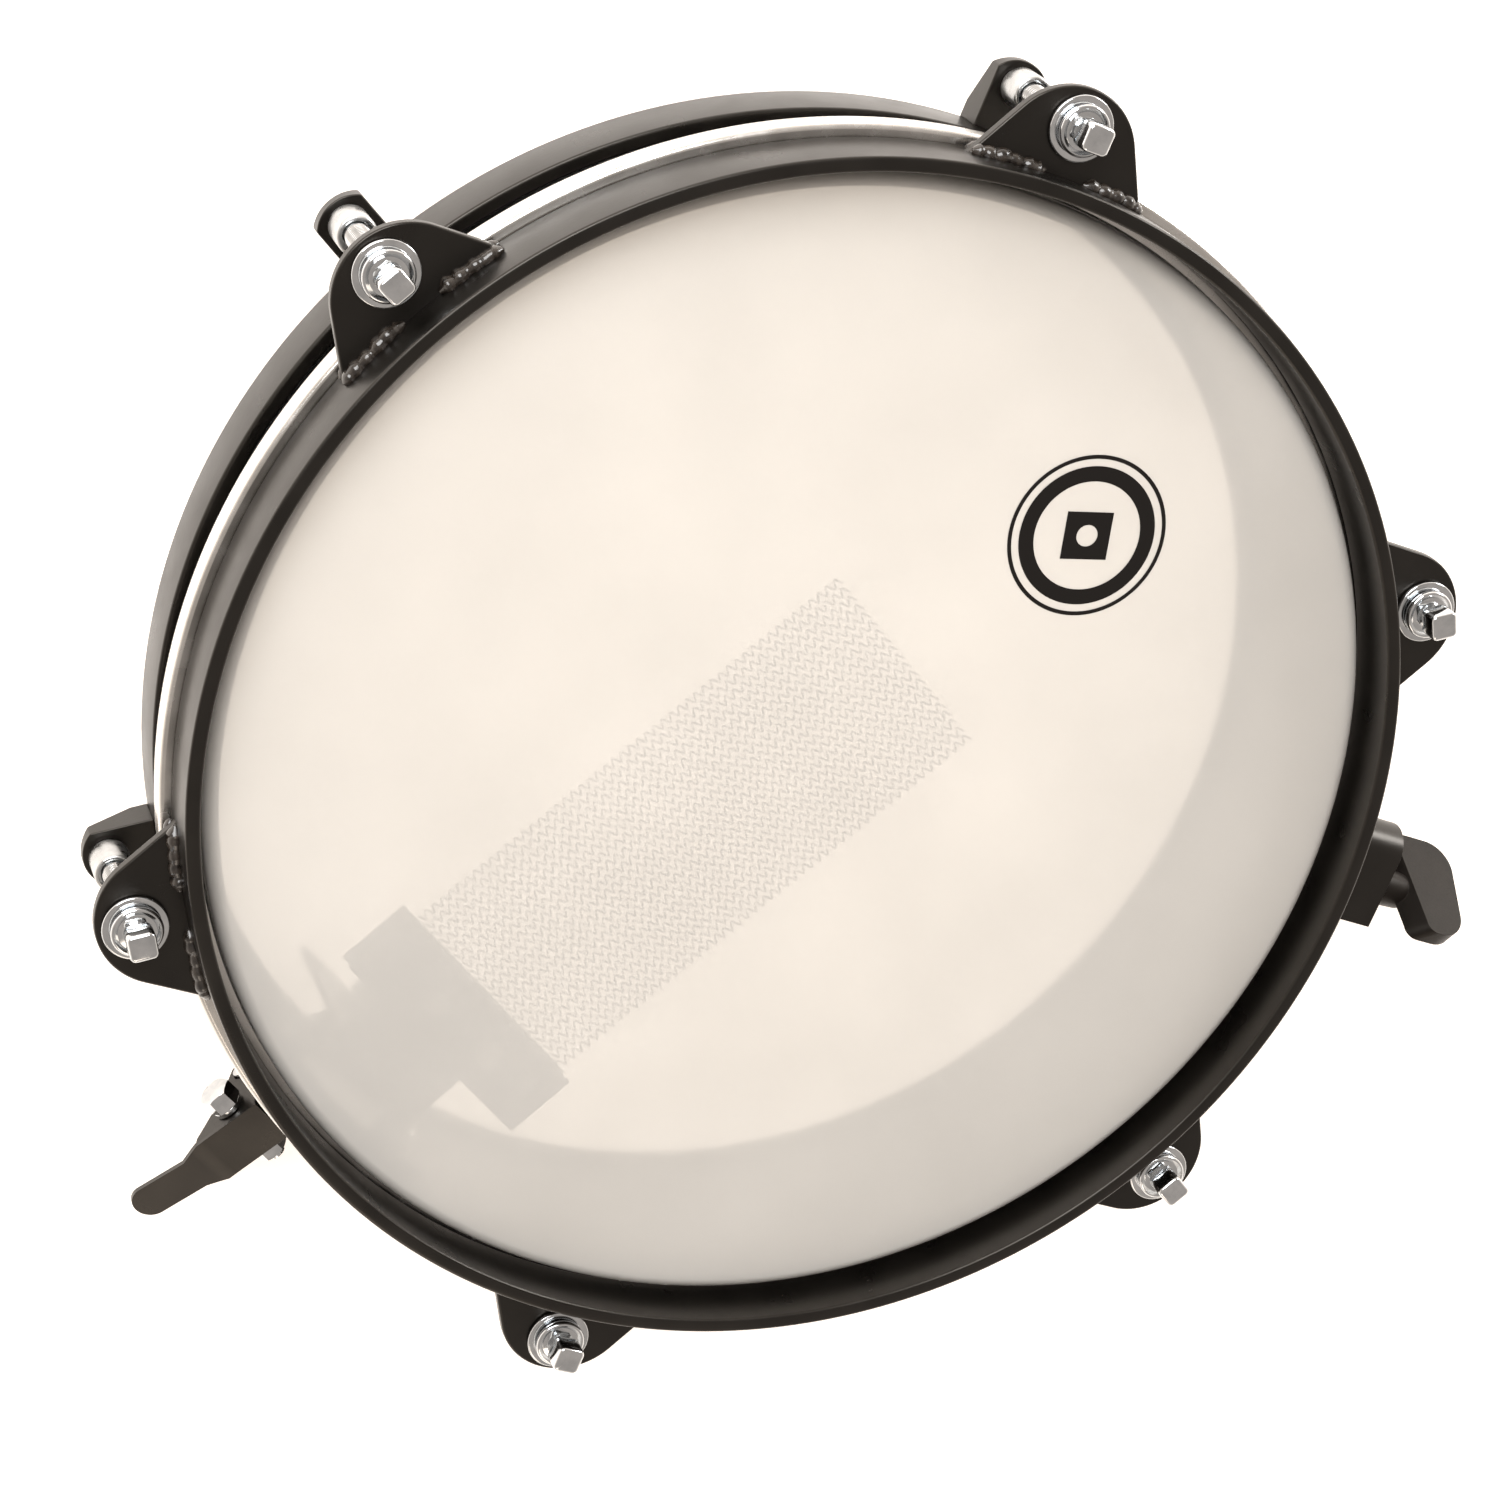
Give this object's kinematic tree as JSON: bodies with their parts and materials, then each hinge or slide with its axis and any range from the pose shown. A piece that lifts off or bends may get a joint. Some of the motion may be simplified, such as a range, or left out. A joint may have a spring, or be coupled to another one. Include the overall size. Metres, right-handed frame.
{
  "type": "side snare drum",
  "caption": "Shallow single-headed steel side snare with a batter hoop on lug ears, tension rods, a snare throw-off inside and a stand-rod clamp.",
  "frame": {"origin": "under the middle of the whole drum's box, on the plane of the shell's rear edge; the drum's own axis stands at x -6.9 mm, y +20.9 mm", "axes": "+Z is the drum's axis, from the open rear edge to the playing head; -Y points to the throw-off; the stand clamp is at 30 degrees from +X towards +Y"},
  "size_m": [0.3184, 0.314, 0.0628],
  "materials": {
    "black_powder_coat": "semi-gloss black powder coat on steel",
    "frosted_film": "coated polyester film, frosted",
    "aluminium_channel": "satin rolled channel",
    "chrome_plate": "bright chrome plate",
    "zinc_plated_steel": "bright zinc plate",
    "snare_wire_steel": "drawn and coiled steel wire",
    "moulded_black_nylon": "moulded, fine satin grain"
  },
  "bodies": {
    "drum": {"shell": "black_powder_coat", "drum_head": "frosted_film", "flesh_hoop": "aluminium_channel", "rear_ring": "black_powder_coat", "lug_bracket_1": "black_powder_coat", "lug_bracket_2": "black_powder_coat", "lug_bracket_3": "black_powder_coat", "lug_bracket_4": "black_powder_coat", "lug_bracket_5": "black_powder_coat", "lug_bracket_6": "black_powder_coat", "lug_barrel_1": "zinc_plated_steel", "lug_barrel_2": "zinc_plated_steel", "lug_barrel_3": "zinc_plated_steel", "lug_barrel_4": "zinc_plated_steel", "lug_barrel_5": "zinc_plated_steel", "lug_barrel_6": "zinc_plated_steel", "strainer_bracket": "black_powder_coat", "snare_hinge_pin": "zinc_plated_steel", "strainer_screw_1": "zinc_plated_steel", "strainer_screw_2": "zinc_plated_steel", "strainer_nut_1": "zinc_plated_steel", "strainer_nut_2": "zinc_plated_steel", "throw_off_tongue": "black_powder_coat", "throw_off_bolt": "chrome_plate", "throw_off_nut": "chrome_plate", "stand_clamp_block": "black_powder_coat"},
    "hoop": {"batter_hoop": "black_powder_coat", "hoop_ear_1": "black_powder_coat", "hoop_ear_2": "black_powder_coat", "hoop_ear_3": "black_powder_coat", "hoop_ear_4": "black_powder_coat", "hoop_ear_5": "black_powder_coat", "hoop_ear_6": "black_powder_coat", "rod_washer_1": "chrome_plate", "rod_washer_2": "chrome_plate", "rod_washer_3": "chrome_plate", "rod_washer_4": "chrome_plate", "rod_washer_5": "chrome_plate", "rod_washer_6": "chrome_plate"},
    "rod_1": {"tension_rod_1": "chrome_plate"},
    "rod_2": {"tension_rod_2": "chrome_plate"},
    "rod_3": {"tension_rod_3": "chrome_plate"},
    "rod_4": {"tension_rod_4": "chrome_plate"},
    "rod_5": {"tension_rod_5": "chrome_plate"},
    "rod_6": {"tension_rod_6": "chrome_plate"},
    "lever": {"throw_off_lever": "black_powder_coat", "throw_off_link_pin": "chrome_plate"},
    "pull_rod": {"pull_rod": "zinc_plated_steel", "pull_rod_nut_1": "zinc_plated_steel", "pull_rod_nut_2": "zinc_plated_steel"},
    "carrier": {"snare_carrier": "black_powder_coat", "snare_clamp_lower": "black_powder_coat", "snare_clamp_upper": "black_powder_coat", "snare_clamp_screw_1": "zinc_plated_steel", "snare_clamp_screw_2": "zinc_plated_steel", "snare_wires": "snare_wire_steel"},
    "clamp_pad": {"clamp_pad": "zinc_plated_steel"},
    "clamp_screw": {"clamp_stud": "zinc_plated_steel", "clamp_wing_knob": "moulded_black_nylon"}
  },
  "joints": [
    {"name": "hoop_lift", "type": "slide", "parent": "drum", "child": "hoop", "axis": [0, 0, 1], "range_m": [0, 0.0018]},
    {"name": "rod_1_turn", "type": "hinge", "parent": "hoop", "child": "rod_1", "pos_m": [0.13721, 0.0209, 0.0527], "axis": [0, 0, 1], "range_deg": [0, 720]},
    {"name": "rod_2_turn", "type": "hinge", "parent": "hoop", "child": "rod_2", "pos_m": [0.06516, 0.14569, 0.0527], "axis": [0, 0, 1], "range_deg": [0, 720]},
    {"name": "rod_3_turn", "type": "hinge", "parent": "hoop", "child": "rod_3", "pos_m": [-0.07894, 0.14569, 0.0527], "axis": [0, 0, 1], "range_deg": [0, 720]},
    {"name": "rod_4_turn", "type": "hinge", "parent": "hoop", "child": "rod_4", "pos_m": [-0.15099, 0.0209, 0.0527], "axis": [0, 0, 1], "range_deg": [0, 720]},
    {"name": "rod_5_turn", "type": "hinge", "parent": "hoop", "child": "rod_5", "pos_m": [-0.07894, -0.10389, 0.0527], "axis": [0, 0, 1], "range_deg": [0, 720]},
    {"name": "rod_6_turn", "type": "hinge", "parent": "hoop", "child": "rod_6", "pos_m": [0.06516, -0.10389, 0.0527], "axis": [0, 0, 1], "range_deg": [0, 720]},
    {"name": "lever_throw", "type": "hinge", "parent": "drum", "child": "lever", "pos_m": [-0.00689, -0.1251, 0.0163], "axis": [-1, 0, 0], "range_deg": [0, 40]},
    {"name": "pull_rod_travel", "type": "slide", "parent": "drum", "child": "pull_rod", "axis": [0, -1, 0], "range_m": [0, 0.0072]},
    {"name": "carrier_swing", "type": "hinge", "parent": "drum", "child": "carrier", "pos_m": [-0.00989, -0.0946, 0.0368], "axis": [-1, 0, 0], "range_deg": [0, 14]},
    {"name": "clamp_travel", "type": "slide", "parent": "drum", "child": "clamp_pad", "axis": [0.866, 0.5, 0], "range_m": [0, 0.003]},
    {"name": "clamp_turn", "type": "hinge", "parent": "clamp_pad", "child": "clamp_screw", "pos_m": [0.13232, 0.09977, 0.02], "axis": [0.866, 0.5, 0], "range_deg": [0, 870]}
  ],
  "couplings": [
    {"joint": "rod_1_turn", "follows": "hoop_lift", "rad_per_m": 6981.3},
    {"joint": "rod_2_turn", "follows": "hoop_lift", "rad_per_m": 6981.3},
    {"joint": "rod_3_turn", "follows": "hoop_lift", "rad_per_m": 6981.3},
    {"joint": "rod_4_turn", "follows": "hoop_lift", "rad_per_m": 6981.3},
    {"joint": "rod_5_turn", "follows": "hoop_lift", "rad_per_m": 6981.3},
    {"joint": "rod_6_turn", "follows": "hoop_lift", "rad_per_m": 6981.3},
    {"joint": "pull_rod_travel", "follows": "lever_throw", "m_per_rad": 0.01013},
    {"joint": "carrier_swing", "follows": "lever_throw", "ratio": 0.345},
    {"joint": "clamp_turn", "follows": "clamp_travel", "rad_per_m": 5026.5}
  ]
}
